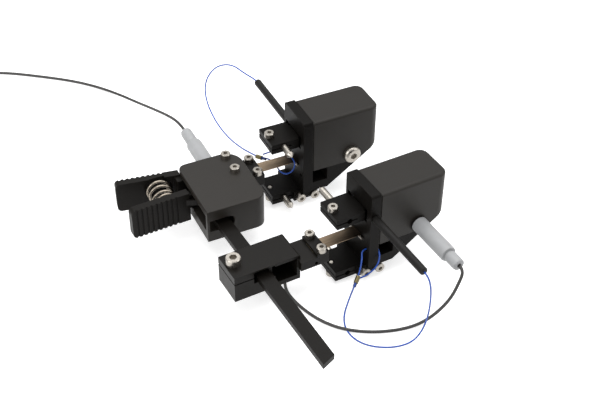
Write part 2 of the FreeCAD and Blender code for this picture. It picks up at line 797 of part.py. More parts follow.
def front_handle():
    """Front plate with a link that runs into the case to the pivot, above the guide bar."""
    plate = grooved_plate(handle_end_x, front_handle_root, front_handle_y, -1)
    bottom = bar_z + bar_thickness
    inner_y = front_handle_y + handle_thickness
    root_x = front_handle_root - link_root
    link = prism_z([(root_x, front_handle_y), (pivot_pin_x, pivot_pin_y - link_eye_d / 2),
                    (pivot_pin_x, pivot_pin_y + link_eye_d / 2), (front_handle_root, inner_y),
                    (root_x, inner_y)], bottom, bottom + link_thickness)
    eye = rod(V(pivot_pin_x, pivot_pin_y, bottom), V(0, 0, 1), link_eye_d, link_thickness)
    neck = block(root_x, front_handle_root + neck_length, front_handle_y + neck_inset, inner_y, neck_bottom, neck_top)
    lever = plate.fuse(link).fuse(eye).fuse(neck)
    lever = lever.cut(group(lever_rivets(bottom - past, link_thickness + 2 * past)))
    return lever.cut(rod(V(pivot_pin_x, pivot_pin_y, bottom - past), V(0, 0, 1), pivot_pin_d + 2 * running,
                         link_thickness + 2 * past))


def guide_bar():
    """Flat bar that hangs out of the case's window, with an eye on the pivot."""
    half = bar_width / 2
    top = bar_z + bar_thickness
    bar = prism_z([(bar_x - half, bar_end_left), (bar_x + half, bar_end_right),
                   (bar_x + half, pivot_pin_y - bar_head_half),
                   (pivot_pin_x + bar_head_side, pivot_pin_y - bar_head_half),
                   (pivot_pin_x, pivot_pin_y + bar_head_half),
                   (bar_x - half, pivot_pin_y + bar_head_half)], bar_z, top)
    bar = bar.fuse(rod(V(pivot_pin_x, pivot_pin_y, bar_z), V(0, 0, 1), link_eye_d, bar_thickness))
    bar = bar.cut(group(lever_rivets(bar_z - past, bar_thickness + 2 * past)))
    return bar.cut(rod(V(pivot_pin_x, pivot_pin_y, bar_z - past), V(0, 0, 1), pivot_pin_d + 2 * running,
                       bar_thickness + 2 * past))


def lever_rivets(bottom, height):
    """The rivets that join the front handle's link to the guide bar, or the holes for them."""
    return [rod(V(x, y, bottom), V(0, 0, 1), rivet_d, height) for x, y in rivet_places]


def handle_spring_points():
    """Corners of the open coil between the handles; its ends lie against the two inner faces."""
    front_y = turn_point(V(spring_x, front_handle_y + handle_thickness, 0)).y
    rear_y = handle_inner_y(spring_x) + spring_pocket_depth
    tilt_room = spring_d / 2 * math.tan(math.radians(lever_rest_angle))
    start = front_y + spring_wire / 2 + tilt_room
    length = rear_y - spring_wire / 2 - spring_seat_gap - start
    steps = round(spring_turns * spring_corners)
    radius = (spring_d - spring_wire) / (1 + math.cos(math.pi / spring_corners))
    points = []
    for step in range(steps + 1):
        angle = 2 * math.pi * step / spring_corners
        points.append(V(spring_x + radius * math.cos(angle), start + length * step / steps,
                        spring_z + radius * math.sin(angle)))
    return points


# Slide block with its clamp slit, bar slot, deep pocket and leaf tongue
def slide_block():
    block_half = leaf_clamp_width / 2
    y = front_head_y + leaf_side_offset
    shape = block(block_x0, block_x1, block_y0, block_y1, block_bottom, block_top)
    corner = edges_along(shape, V(0, 1, 0), lambda p: near(p.x, block_x1) and p.z > 0)
    shape = shape.makeFillet(block_round, corner)
    tongue = block(block_x1 - past, tongue_x1, y - block_half, y + block_half,
                   leaf_z - leaf_seat_thickness, leaf_z)
    shape = shape.fuse(tongue)
    half = bar_width / 2 + sliding
    through_y = [block_y0 - past, block_y1 + past]
    bar_slot = block(bar_x - half, bar_x + half, *through_y, bar_z - sliding, bar_z + bar_thickness + sliding)
    mouth = block(block_mouth_x0, block_mouth_x1, block_y0 - past, block_y0 + block_mouth_depth,
                  block_mouth_z0, block_mouth_z1)
    pocket = block(block_mouth_x1, block_pocket_x1, block_y0 - past, block_y0 + block_pocket_depth,
                   block_pocket_z0, block_pocket_z1)
    slit = block(block_x0 - past, bar_x, *through_y, block_slit_z - block_slit / 2, block_slit_z + block_slit / 2)
    shape = shape.cut(bar_slot).cut(mouth).cut(pocket).cut(slit)
    shape = shape.cut(rod(V(block_screw_x, block_screw_y, block_bottom + block_floor), V(0, 0, 1), m3_shank,
                          block_top - block_bottom))
    shape = shape.cut(rod(V(tongue_front_hole_x, y - block_half - past, tongue_front_hole_z), V(0, 1, 0),
                          tongue_front_hole_d, tongue_hole_depth + past))
    return leaf_screw_holes(shape, y)


# Cables and their plugs
def main_cable_points():
    """Chosen by hand: from the plug's tail down to the table and away to the left."""
    z = cable_rest_z
    tail_end = body_y1 + plug_wide_length + plug_tail_length
    return [V(plug_x, tail_end, plug_z), V(plug_x, tail_end + 7, plug_z),
            V(-26.4, 78, -3.4), V(-29.2, 92, -7.8), V(-32.0, 106, -12.4), V(-35.5, 118, -15.2),
            V(-42.0, 129.0, z), V(-51.0, 138.6, z), V(-63.5, 148.5, z), V(coil_x + 72.5, coil_y + 26.8, z),
            V(coil_x + 57.0, coil_y + 33.2, z), V(coil_x + 42.5, coil_y + 32.2, z),
            V(coil_x + 30.0, coil_y + 26.8, z),
            V(coil_x + 19.0, coil_y + coil_outer_turn + 6.2, z),
            V(coil_x + 10.0, coil_y + coil_outer_turn + 1.6, z),
            V(coil_x + 1.5, coil_y + coil_outer_turn + 0.1, z)]


def cable_coil():
    """Outer shape of the wound length: a ring of neat layers of turns lying on the table."""
    turn = coil_turn_d / 2
    outer = Part.makeCylinder(turn + coil_half_width, coil_height, V(coil_x, coil_y, floor_z))
    inner = Part.makeCylinder(turn - coil_half_width, coil_height, V(coil_x, coil_y, floor_z))
    return outer.cut(inner)


def connector_lead_points():
    """From the ring's top turn, where it heads along -Y, down into the connector's grip."""
    x = connector_x
    z = coil_top_turn_z
    drop = z - connector_z
    return [V(x, coil_y - 0.6, z), V(x, coil_y - 5.0, z), V(x, coil_y - 8.0, z - 0.3 * drop),
            V(x, coil_y - 12.0, z - 0.9 * drop), V(x, connector_y - cable_into_coil, connector_z)]


def connector_parts():
    """Grip and shell of the signal connector, lying beside the coil along -Y."""
    grip = rod(V(connector_x, connector_y, connector_z), V(0, -1, 0), connector_grip_d, connector_grip_length)
    shell_y = connector_y - connector_grip_length
    mouth_y = shell_y - connector_length
    shell = rod(V(connector_x, shell_y, connector_z), V(0, -1, 0), connector_d, connector_length)
    shell = shell.cut(rod(V(connector_x, mouth_y, connector_z), V(0, 1, 0),
                          connector_d - 2 * connector_wall, connector_mouth))
    for x, dz in connector_pins:
        shell = shell.fuse(rod(V(connector_x + x, mouth_y + connector_mouth, connector_z + dz), V(0, -1, 0),
                               connector_pin_d, connector_mouth - connector_pin_root))
    return grip, shell


def link_cable_points():
    """Chosen by hand: from the front plug down to the table, round and up into the slide block."""
    z = cable_rest_z
    tail_y = front_head_y - cover_width / 2 - front_plug_wide_length - front_plug_tail_length
    start = turn_point(V(port_x, tail_y, port_z))
    out = turn_point(V(port_x, tail_y - 3.0, port_z))
    return [start, out, V(29.8, -62.9, -1.6), V(28.4, -62.8, -6.2), V(25.8, -62.4, -10.4),
            V(21.0, -61.9, -14.6), V(14.6, -62.0, z), V(6.6, -61.0, z), V(-1.6, -58.2, z),
            V(-9.2, -53.4, z), V(-14.8, -46.6, z), V(-18.4, -38.8, z), V(-20.6, -32.2, -14.9),
            V(-21.6, -28.6, -12.4), V(-21.6, -28.6, block_bottom)]


def lanyard_end(side, head_y):
    """Outer end of a lock pin, in head coordinates moved to head_y."""
    return V(lock_x, head_y + side * (flange_width / 2 + lock_pin_standing), half_gauge)


def front_lanyard_points():
    """Chosen by hand: a bow off the pin's end and over the table, and a loop through the flange."""
    z = cord_rest_z
    end = turn_point(lanyard_end(-1, front_head_y))
    loop = [V(0.4, -38.7, -11.2), V(2.6, -37.2, -8.4), V(4.3, -35.4, -5.0), V(5.0, -33.8, -2.8),
            V(8.6, -33.8, -2.8), V(12.6, -33.9, -3.0), V(13.2, -36.6, -5.2), V(11.6, -38.2, -8.2),
            V(7.2, -38.8, -10.6), V(2.4, -39.3, -11.8)]
    bow = [end, end + V(0.2, -2.4, -0.3), end + V(1.0, -3.4, -4.4), V(15.4, -67.6, 1.0),
           V(15.4, -67.2, -7.0), V(13.4, -67.4, -13.6), V(8.6, -68.6, z), V(0.6, -67.6, z),
           V(-7.0, -62.4, z), V(-9.6, -54.8, z), V(-7.4, -47.4, z), V(-2.2, -42.0, -14.0)]
    return bow, [turn_point(point) for point in loop]


def rear_lanyard_points():
    """Chosen by hand: an open bow off the pin's end, and a loop round the leaf spring."""
    end = lanyard_end(1, rear_head_y)
    y = rear_head_y
    loop = [V(-4.2, y + 9.4, -1.4), V(-0.8, y + 6.2, -1.2), V(-0.6, y + 1.0, -0.7), V(-0.9, y - 3.4, -0.8),
            V(0.9, y - 4.6, -1.8), V(3.6, y - 4.5, -1.6), V(5.2, y - 3.9, 0.0), V(5.2, y - 3.8, 2.8),
            V(5.1, y + 0.2, 2.8), V(4.4, y + 5.2, 2.2), V(1.4, y + 8.4, 0.8), V(-2.4, y + 9.7, -0.8)]
    bow = [end, end + V(-0.3, 3.2, -0.2), V(6.6, 71.5, 12.2), V(4.8, 82.0, 11.4), V(0.4, 89.8, 6.8),
           V(-4.2, 91.4, -0.6), V(-6.2, 85.8, -6.8), V(-6.4, 74.5, -10.6), V(-6.2, 61.0, -10.0),
           V(-5.9, 48.0, -6.4), V(-5.4, 38.4, -2.8)]
    return bow, loop


def crimp(bow, loop):
    """Sleeve where the bow meets the loop, lying along the cord's run."""
    along = (loop[1] - bow[-1]).normalize()
    return rod(loop[0] - along * (crimp_length / 2), along, crimp_d, crimp_length)


# Rear group
build_head("rear", place_rear, 1, -1, False)
leaf_parts("rear", rear_head_y + leaf_side_offset, lambda shape: shape)
save("clamp_body", clamp_body())
save("body_screws", body_screws())
save("leaf_seat", leaf_seat())
save("pivot_pin", rod(V(pivot_pin_x, pivot_pin_y, body_bottom + pivot_pin_seat), V(0, 0, 1), pivot_pin_d,
                      body_top - body_bottom - 1.5 * pivot_pin_seat))
save("rear_handle", rear_handle())
cord_tube("handle_spring", handle_spring_points(), spring_wire)

# Lever group
save("front_handle", turn_lever(front_handle()))
save("guide_bar", turn_lever(guide_bar()))
save("lever_rivets", turn_lever(group(lever_rivets(bar_z, bar_thickness + link_thickness))))

# Slide group
build_head("front", place_front, -1, 1, True)
leaf_parts("front", front_head_y + leaf_side_offset, turn_lever)
save("slide_block", turn_lever(slide_block()))
save("slide_lock_screw", turn_lever(socket_screw(
    V(block_screw_x, block_screw_y, block_top), V(0, 0, 1), m3_shank, m3_head, m3_height, m3_socket,
    block_top - block_bottom - block_floor)))

# Cables
main_sleeve = rod(V(plug_x, body_y1 - plug_seat_depth, plug_z), V(0, 1, 0), plug_wide_d,
                  plug_wide_length + plug_seat_depth)
save("main_plug", plug_shape(main_sleeve, V(plug_x, body_y1 + plug_wide_length, plug_z), V(0, 1, 0),
                             plug_tail_d, plug_tail_length))
cord_tube("main_cable", main_cable_points(), cable_d)
save("cable_coil", cable_coil())
cord_tube("connector_lead", connector_lead_points(), cable_d)
connector_grip, connector_shell = connector_parts()
save("connector_grip", connector_grip)
save("connector_shell", connector_shell)
cord_tube("link_cable", link_cable_points(), cable_d)
for head, (bow, loop) in (("front", front_lanyard_points()), ("rear", rear_lanyard_points())):
    cord_tube(head + "_lanyard", bow + loop, cord_d)
    save(head + "_crimp", crimp(bow, loop))
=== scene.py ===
# %% [markdown]
# # A clip-on extensometer, dressed for its picture
# A clip-on extensometer measures how far a test specimen stretches. Two measuring heads grip the
# specimen between their contact points, and a spring clamp holds the heads together.
# The shapes come from the solid model, which is loaded here and never changed. Everything below
# gives those shapes their finish, and models what solids are poor at: cords, springs, moulded plugs.

# %% Load the solid model
import json
import math

import bmesh
import bpy
from mathutils import Matrix, Vector
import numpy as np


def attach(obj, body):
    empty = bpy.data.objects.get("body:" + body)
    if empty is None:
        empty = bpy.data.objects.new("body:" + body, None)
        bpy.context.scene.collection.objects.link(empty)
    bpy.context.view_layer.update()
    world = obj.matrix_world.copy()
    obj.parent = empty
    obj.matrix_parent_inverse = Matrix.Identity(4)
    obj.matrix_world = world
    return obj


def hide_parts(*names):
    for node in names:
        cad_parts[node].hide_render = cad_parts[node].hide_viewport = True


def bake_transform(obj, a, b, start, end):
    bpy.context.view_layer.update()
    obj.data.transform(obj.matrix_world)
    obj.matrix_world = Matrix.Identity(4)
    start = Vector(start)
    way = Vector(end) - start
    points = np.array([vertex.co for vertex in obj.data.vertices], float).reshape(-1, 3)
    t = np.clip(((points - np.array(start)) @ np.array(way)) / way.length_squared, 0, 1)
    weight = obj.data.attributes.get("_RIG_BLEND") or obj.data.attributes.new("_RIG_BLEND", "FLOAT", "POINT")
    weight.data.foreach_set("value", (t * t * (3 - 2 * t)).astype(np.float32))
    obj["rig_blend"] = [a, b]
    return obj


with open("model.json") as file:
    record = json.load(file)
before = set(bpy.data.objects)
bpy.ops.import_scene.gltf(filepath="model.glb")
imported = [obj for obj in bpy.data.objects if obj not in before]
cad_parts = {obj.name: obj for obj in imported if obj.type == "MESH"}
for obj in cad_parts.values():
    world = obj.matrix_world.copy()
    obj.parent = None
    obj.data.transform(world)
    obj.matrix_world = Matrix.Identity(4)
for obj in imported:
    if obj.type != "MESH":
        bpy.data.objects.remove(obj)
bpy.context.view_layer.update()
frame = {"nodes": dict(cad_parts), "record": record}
MM = 0.001
FLOOR_Z = -16.6
FLOOR = FLOOR_Z * MM


def link(name, data):
    """Puts a mesh, curve, lamp or lens into the scene as an object."""
    piece = bpy.data.objects.new(name, data)
    bpy.context.scene.collection.objects.link(piece)
    return piece


print("solid parts:", len(frame["nodes"]), "floor at", FLOOR)

# %% [markdown]
# ## The camera
# The picture is taken from the front left and well above, with a long lens, so that lines which run
# away from us hardly close up. The place, the turn about the line of sight and the lens were solved
# from corners of the instrument whose sizes are known, and are set here once.

# %% Camera
TARGET = Vector((-4.10, -4.49, 4.75)) * MM
DISTANCE = 422.7 * MM
AZIMUTH, ELEVATION, ROLL = map(math.radians, (-25.82, 39.90, 0.52))

lens = bpy.data.cameras.new("studio_lens")
lens.lens = 68.04
lens.sensor_width = 36.0
lens.clip_start, lens.clip_end = 0.01, 20.0
camera = link("studio_camera", lens)
sight = Vector((-math.sin(AZIMUTH) * math.cos(ELEVATION), math.cos(AZIMUTH) * math.cos(ELEVATION),
                -math.sin(ELEVATION)))
camera.rotation_mode = "QUATERNION"
camera.rotation_quaternion = sight.to_track_quat("-Z", "Y") @ Matrix.Rotation(ROLL, 3, "Z").to_quaternion()
camera.location = TARGET - sight * DISTANCE
bpy.context.scene.camera = camera
print("camera at", [round(c, 4) for c in camera.location])

# %% [markdown]
# ## Placing things on the lever
# The front handle, the bar and the front head are drawn square and then turned together by the angle
# at which the spring holds the lever. A point given in the square drawing is turned the same way.

# %% Places on the lever and on the heads
PIVOT = Vector((-27.5, 14.0, 0.0))
REST_TURN = Matrix.Rotation(math.radians(3.5), 3, "Z")
REAR_HEAD_Y = 23.67
FRONT_HEAD_Y = -27.4
HEAD_HALF_WIDTH = 8.7
HALF_GAUGE = 12.5
LOCK_PIN_X = 8.65
LOCK_PIN_STANDING = 31.0
MAIN_PLUG_X, MAIN_PLUG_Z = -24.9, -0.9
FRONT_PLUG_X, FRONT_PLUG_Z = 27.7, 2.75


def on_lever(x, y, z):
    """A point of the square drawing, in millimetres, where it stands on the turned lever."""
    return PIVOT + REST_TURN @ (Vector((x, y, z)) - PIVOT)


print("front head's middle at", [round(c, 2) for c in on_lever(0, FRONT_HEAD_Y, 0)])

# %% [markdown]
# ## Cables and safety cords
# A cable is one long flexible thing, so it is one smooth curve with few points. A NURBS spline passes
# near its control points and never kinks, which is how a cable lies. The points are in millimetres.
# The signal cable leaves the clamp's plug, falls to the table and runs away to the left. What the
# picture doesn't reach is wound into a neat coil of eight layers, beside its connector.

# %% The signal cable and its coil
CABLE_D = 1.2
CABLE_Z = FLOOR_Z + CABLE_D / 2
COIL_X, COIL_Y, COIL_TURN = -150.5, 132.0, 7.2
ROW_TURNS, LAYERS, SPACING = 5, 8, 1.215
CLIMB = 3.25 / 7
POINTS_PER_TURN = 14
OUTER_TURN = COIL_TURN + (ROW_TURNS - 1) * SPACING / 2
INNER_TURN = COIL_TURN - (ROW_TURNS - 1) * SPACING / 2
TOP_Z = CABLE_Z + (LAYERS - 1) * SPACING
CONNECTOR_X = COIL_X - OUTER_TURN
CONNECTOR_Y = COIL_Y - 16.0
KNURL_RADIUS = 6.0
CONNECTOR_Z = FLOOR_Z + KNURL_RADIUS
# A spline runs a little inside the ring of its control points, so the ring is drawn larger
RING_GAIN = 2 / (1 + math.cos(math.pi / POINTS_PER_TURN))


def nurbs(name, points, diameter):
    """A cord's curve through millimetre points, with its round section."""
    data = bpy.data.curves.new(name, "CURVE")
    data.dimensions = "3D"
    spline = data.splines.new("NURBS")
    spline.points.add(len(points) - 1)
    for control, point in zip(spline.points, points):
        control.co = (*(Vector(point) * MM), 1.0)
    spline.order_u = 3
    spline.use_endpoint_u = True
    data.resolution_u = 6
    data.bevel_depth = diameter * MM / 2
    data.bevel_resolution = 3
    data.use_fill_caps = True
    return link(name, data)


def measure(curve):
    """The points of the smooth line itself, and its length in millimetres."""
    bevel = curve.data.bevel_depth
    curve.data.bevel_depth = 0.0
    bpy.context.view_layer.update()
    line = bpy.data.meshes.new_from_object(curve.evaluated_get(bpy.context.evaluated_depsgraph_get()))
    curve.data.bevel_depth = bevel
    bpy.context.view_layer.update()
    points = [vertex.co.copy() for vertex in line.vertices]
    bpy.data.meshes.remove(line)
    return points, sum((b - a).length for a, b in zip(points, points[1:])) / MM


def cord_mesh(name, points, diameter):
    """A tube mesh round the smooth line through the points, and the line it follows."""
    curve = nurbs(name + "_line", points, diameter)
    line, length = measure(curve)
    tube = bpy.data.meshes.new_from_object(curve.evaluated_get(bpy.context.evaluated_depsgraph_get()))
    bpy.data.objects.remove(curve)
    piece = link(name, tube)
    weld = bmesh.new()
    weld.from_mesh(tube)
    bmesh.ops.remove_doubles(weld, verts=weld.verts, dist=1e-6)
    bmesh.ops.recalc_face_normals(weld, faces=weld.faces)
    weld.to_mesh(tube)
    weld.free()
    for face in tube.polygons:
        face.use_smooth = True
    print(name, round(length, 1), "mm,", len(tube.polygons), "faces")
    return piece, line, length


def coil_place(turns):
    """Radius and height after so many turns: a spiral in, a climb, a spiral out, and so on."""
    period = ROW_TURNS - 1 + CLIMB
    layer = min(int(turns / period), LAYERS - 1)
    along = turns - layer * period
    inward = layer % 2 == 0
    start, stop = (OUTER_TURN, INNER_TURN) if inward else (INNER_TURN, OUTER_TURN)
    if along <= ROW_TURNS - 1:
        return start + (stop - start) * along / (ROW_TURNS - 1), CABLE_Z + layer * SPACING
    rise = (along - ROW_TURNS + 1) / CLIMB
    bulge = 0.25 * math.sin(math.pi * rise)
    return stop + (-bulge if inward else bulge), CABLE_Z + (layer + rise) * SPACING


coil_turns = LAYERS * (ROW_TURNS - 1) + (LAYERS - 1) * CLIMB
steps = round(coil_turns * POINTS_PER_TURN)
coil_points = []
for step in range(steps + 1):
    turns = coil_turns * step / steps
    radius, height = coil_place(turns)
    angle = math.pi / 2 + 2 * math.pi * turns
    coil_points.append((COIL_X + radius * RING_GAIN * math.cos(angle),
                        COIL_Y + radius * RING_GAIN * math.sin(angle), height))

run_out = [(MAIN_PLUG_X, 60.5, MAIN_PLUG_Z), (MAIN_PLUG_X, 67.5, MAIN_PLUG_Z), (-26.4, 78.0, -3.4),
           (-29.2, 92.0, -7.8), (-32.0, 106.0, -12.4), (-35.5, 118.0, -15.2), (-42.0, 129.0, CABLE_Z),
           (-51.0, 138.6, CABLE_Z), (-63.5, 148.5, CABLE_Z), (-78.0, 158.8, CABLE_Z),
           (-93.5, 165.2, CABLE_Z), (-108.0, 164.2, CABLE_Z), (-120.5, 158.8, CABLE_Z),
           (-131.5, 147.83, CABLE_Z), (-140.5, 143.23, CABLE_Z)]
drop = TOP_Z - CONNECTOR_Z
lead_in = [(CONNECTOR_X, COIL_Y - 5.0, TOP_Z), (CONNECTOR_X, COIL_Y - 8.0, TOP_Z - 0.3 * drop),
           (CONNECTOR_X, COIL_Y - 12.0, TOP_Z - 0.9 * drop), (CONNECTOR_X, CONNECTOR_Y - 0.6, CONNECTOR_Z)]
signal_cable = nurbs("signal_cable", run_out + coil_points + lead_in, CABLE_D)
signal_length = measure(signal_cable)[1]
print("signal cable", round(signal_length), "mm with", round(coil_turns, 2), "turns")

# %% [markdown]
# A short cable joins the front head's plug to the slide block. It falls to the table, swings round in
# one bow and comes up under the block. The head can tilt against the block, so the cable's curve is
# turned into a mesh that bends between the two.

# %% The link cable
link_points = [on_lever(FRONT_PLUG_X, -62.0, FRONT_PLUG_Z), on_lever(FRONT_PLUG_X, -65.0, FRONT_PLUG_Z),
               (29.4, -63.0, -1.6), (27.4, -63.1, -6.2), (24.5, -62.8, -10.4), (19.6, -62.3, -14.6),
               (13.2, -62.2, CABLE_Z), (5.4, -61.0, CABLE_Z), (-2.6, -58.0, CABLE_Z),
               (-10.0, -53.0, CABLE_Z), (-15.2, -46.4, CABLE_Z), (-18.4, -38.8, CABLE_Z),
               (-20.6, -32.2, -14.9), (-21.6, -28.6, -12.4), (-21.6, -28.6, -8.0)]
link_cable, link_line, link_length = cord_mesh("link_cable_jacket", link_points, CABLE_D)

# %% [markdown]
# Each lock pin is kept from getting lost by a thin blue cord: from the pin's end in an open bow to a
# crimped sleeve. There it closes in a loop, in front through a small hole in the head's flange, and
# behind round the leaf spring. The cord has to follow the pin, so its curve is turned into a mesh
# that can bend between the head and the pin.

# %% The two safety cords
CORD_D = 0.6
CORD_Z = FLOOR_Z + CORD_D / 2
front_end = on_lever(LOCK_PIN_X, FRONT_HEAD_Y - HEAD_HALF_WIDTH - LOCK_PIN_STANDING, HALF_GAUGE)
front_bow = [front_end, front_end + Vector((0.2, -2.4, -0.3)), front_end + Vector((1.0, -3.4, -4.4)),
             (15.4, -67.6, 1.0), (15.4, -67.2, -7.0), (13.4, -67.4, -13.6), (8.6, -68.6, CORD_Z),
             (0.6, -67.6, CORD_Z), (-7.0, -62.4, CORD_Z), (-9.6, -54.8, CORD_Z), (-7.4, -47.4, CORD_Z),
             (-2.2, -42.0, -14.0)]
front_loop = [on_lever(*point) for point in (
    (0.4, -38.7, -11.2), (2.6, -37.2, -8.4), (4.3, -35.4, -5.0), (5.0, -33.8, -2.8), (8.6, -33.8, -2.8),
    (11.3, -34.1, -3.1), (11.4, -36.6, -5.6), (9.4, -38.2, -8.8), (5.6, -38.7, -10.6), (2.6, -38.8, -11.0),
    (1.0, -38.7, -10.9))]
front_cord, front_line, front_length = cord_mesh("front_safety_cord", front_bow + front_loop, CORD_D)

rear_end = Vector((LOCK_PIN_X, REAR_HEAD_Y + HEAD_HALF_WIDTH + LOCK_PIN_STANDING, HALF_GAUGE))
rear_bow = [rear_end, rear_end + Vector((-0.3, 3.2, -0.2)), (6.6, 71.5, 12.2), (4.8, 82.0, 11.4),
            (0.4, 89.8, 6.8), (-4.2, 91.4, -0.6), (-6.2, 85.8, -6.8), (-6.4, 74.5, -10.6),
            (-6.2, 61.0, -10.0), (-5.9, 48.0, -6.4), (-5.4, 38.4, -2.8)]
rear_loop = [Vector((x, REAR_HEAD_Y + y, z)) for x, y, z in (
    (-4.2, 9.4, -1.4), (-0.8, 6.2, -1.2), (-0.6, 1.0, -0.7), (-0.9, -3.4, -0.8), (0.9, -4.6, -1.8),
    (3.6, -4.5, -1.6), (5.2, -3.9, 0.0), (5.2, -3.8, 2.8), (5.1, 0.2, 2.8), (4.4, 5.2, 2.2),
    (1.4, 8.4, 0.8), (-2.4, 9.7, -0.8))]
rear_cord, rear_line, rear_length = cord_mesh("rear_safety_cord", rear_bow + rear_loop, CORD_D)

# %% [markdown]
# ## Writing a material as a sum
# Blender builds a finish from nodes. Sums of nodes are hard to read as boxes and wires, so a small
# class stands for one wire and turns +, - and * into Math nodes. Every other node comes from one method
# that takes its type, its settings and what goes into its sockets.

# %% The paint box
class Wire:
    """One value on its way through a material."""

    def __init__(self, paint, socket):
        self.paint = paint
        self.socket = socket

    def sum(self, operation, first, second):
        return self.paint.node("ShaderNodeMath", {"operation": operation}, {0: first, 1: second})

    def __add__(self, other):
        return self.sum("ADD", self, other)

    def __sub__(self, other):
        return self.sum("SUBTRACT", self, other)

    def __mul__(self, other):
        return self.sum("MULTIPLY", self, other)

    __radd__ = __add__
    __rmul__ = __mul__


class Paint:
    """A material in the making, whose surface shader is ready to be set."""

    def __init__(self, name):
        self.material = bpy.data.materials.new(name)
        self.material.use_nodes = True
        self.tree = self.material.node_tree
        self.shader = self.tree.nodes["Principled BSDF"]
        self.place = self.node("ShaderNodeTexCoord", output="Object")

    def node(self, kind, settings=None, inputs=None, output=0):
        """Any node: its type, its settings, what goes into its sockets, and which socket leaves it."""
        made = self.tree.nodes.new(kind)
        for name, value in (settings or {}).items():
            setattr(made, name, value)
        for name, value in (inputs or {}).items():
            self.set(made.inputs[name], value)
        return Wire(self, made.outputs[output])

    def set(self, socket, value):
        if isinstance(value, Wire):
            self.tree.links.new(value.socket, socket)
        else:
            socket.default_value = value

    def surface(self, **values):
        """Sets the surface shader's values, and gives back the finished material."""
        for name, value in values.items():
            self.set(self.shader.inputs[name.replace("_", " ").title().replace("Ior", "IOR")], value)
        return self.material

    def noise(self, scale, detail, stretch=None):
        """Soft noise from 0 to 1; scale is in waves per metre, stretch squeezes it along X, Y and Z."""
        where = self.place
        if stretch:
            where = self.node("ShaderNodeMapping", {}, {"Vector": where, "Scale": stretch})
        return self.node("ShaderNodeTexNoise", {},
                         {"Vector": where, "Scale": scale, "Detail": detail, "Roughness": 0.55})

    def ramp(self, factor, low, high):
        """0 below low, 1 above high, and a straight slope between."""
        return self.node("ShaderNodeMapRange", {}, {"Value": factor, "From Min": low, "From Max": high})

    def blend(self, factor, first, second):
        return self.node("ShaderNodeMix", {"data_type": "RGBA"}, {0: factor, 6: first, 7: second}, output=2)

    def bump(self, height, depth, strength, normal):
        """Relief on top of normal; depth is in millimetres for a height of 1."""
        return self.node("ShaderNodeBump", {}, {"Height": height, "Distance": depth * MM,
                                                "Strength": strength, "Normal": normal})

    def soft_edges(self, radius):
        """The surface's direction with its sharp edges rounded over, radius in millimetres."""
        return self.node("ShaderNodeBevel", {"samples": 4}, {"Radius": radius * MM})


def opaque(colour):
    """A colour of red, green and blue that hides what is behind it."""
    return (*colour, 1.0)


def gray(level):
    return opaque((level, level, level))


print("paint box ready")

# %% [markdown]
# ## Black anodised aluminium
# Nearly every milled part is bead blasted and anodised black: a fine, even grain that spreads the
# light, a slightly brown black, and edges where the milling cutter and handling have left a faint
# pale line. The grain is a bump of about a hundredth of a millimetre, and the pale line comes from
# comparing the rounded direction at the edges with the flat one.

# %% Black anodised finish
PALE_EDGE = opaque((0.085, 0.078, 0.068))


def anodised(name, dark, roughness, grain, shine, wear):
    """Anodised black; shine is how much its skin mirrors, wear how far its edges have paled."""
    paint = Paint(name)
    rounded = paint.soft_edges(0.2)
    flat = paint.node("ShaderNodeNewGeometry", output="Normal")
    turn = paint.node("ShaderNodeVectorMath", {"operation": "DOT_PRODUCT"}, {0: rounded, 1: flat},
                      output=1)
    patches = paint.noise(260.0, 4.0)
    blasted = paint.noise(9000.0, 2.0)
    worn = paint.ramp(turn, 0.995, 0.86) * paint.ramp(patches, 0.4, 0.65)
    tone = paint.blend(paint.ramp(patches, 0.3, 0.7), opaque(dark), opaque(c * 1.2 for c in dark))
    return paint.surface(
        base_color=paint.blend(worn * wear, tone, PALE_EDGE),
        roughness=roughness + 0.06 * paint.ramp(patches, 0.25, 0.75) - 0.05 * worn,
        specular_ior_level=shine,
        normal=paint.bump(blasted, grain, 0.5, rounded))


case_black = anodised("black_anodised_case", (0.0125, 0.0104, 0.0082), 0.44, 0.012, 0.28, 0.35)
cover_black = anodised("black_anodised_cover", (0.011, 0.0093, 0.0074), 0.46, 0.014, 0.25, 0.35)
black = anodised("black_anodised", (0.005, 0.0042, 0.0033), 0.38, 0.01, 0.14, 0.25)
handle_black = anodised("black_anodised_handle", (0.0046, 0.0038, 0.003), 0.4, 0.01, 0.12, 0.3)
arm_black = anodised("black_anodised_arm", (0.0034, 0.0029, 0.0024), 0.42, 0.008, 0.08, 0.25)
matt_black = anodised("black_oxide", (0.006, 0.0055, 0.005), 0.48, 0.008, 0.2, 0.2)
print("six black finishes")

# %% [markdown]
# ## Metals
# Stainless screws are turned: rings of tool marks, a warm bright grey. The leaf springs are tempered
# strip, brown from the heat, brushed along their length; towards their end at the head a darker brown
# is painted in as the shadow of the measuring arm above them. Each metal is full metal in the shader,
# and what differs is its colour and how its roughness is drawn out by the tool.

# %% Metals
# A dark brown painted in as the shadow that the measuring arm casts on the leaf's end
ARM_SHADE_BROWN = opaque((0.03, 0.022, 0.016))


def metal(name, colour, shade, roughness, stretch, scale, scratch, shade_from=None):
    """Drawn or turned metal; shade_from is a place along X, in millimetres, past which a painted shadow
    darkens it.
    """
    paint = Paint(name)
    rounded = paint.soft_edges(0.1)
    drawn = paint.noise(scale, 4.0, stretch=stretch)
    tone = paint.blend(paint.ramp(drawn, 0.3, 0.7), opaque(colour), opaque(shade))
    # Painted shadow: past this place along X the colour is darkened towards a dark brown, where the
    # measuring arm above shades the leaf
    if shade_from is not None:
        along = paint.node("ShaderNodeSeparateXYZ", {}, {"Vector": paint.place})
        arm_shade = paint.ramp(along, (shade_from - 5.0) * MM, (shade_from + 5.0) * MM)
        tone = paint.blend(arm_shade * 0.85, tone, ARM_SHADE_BROWN)
    return paint.surface(
        base_color=tone,
        metallic=1.0,
        roughness=roughness + 0.16 * paint.ramp(drawn, 0.3, 0.7),
        normal=paint.bump(drawn, scratch, 0.6, rounded))


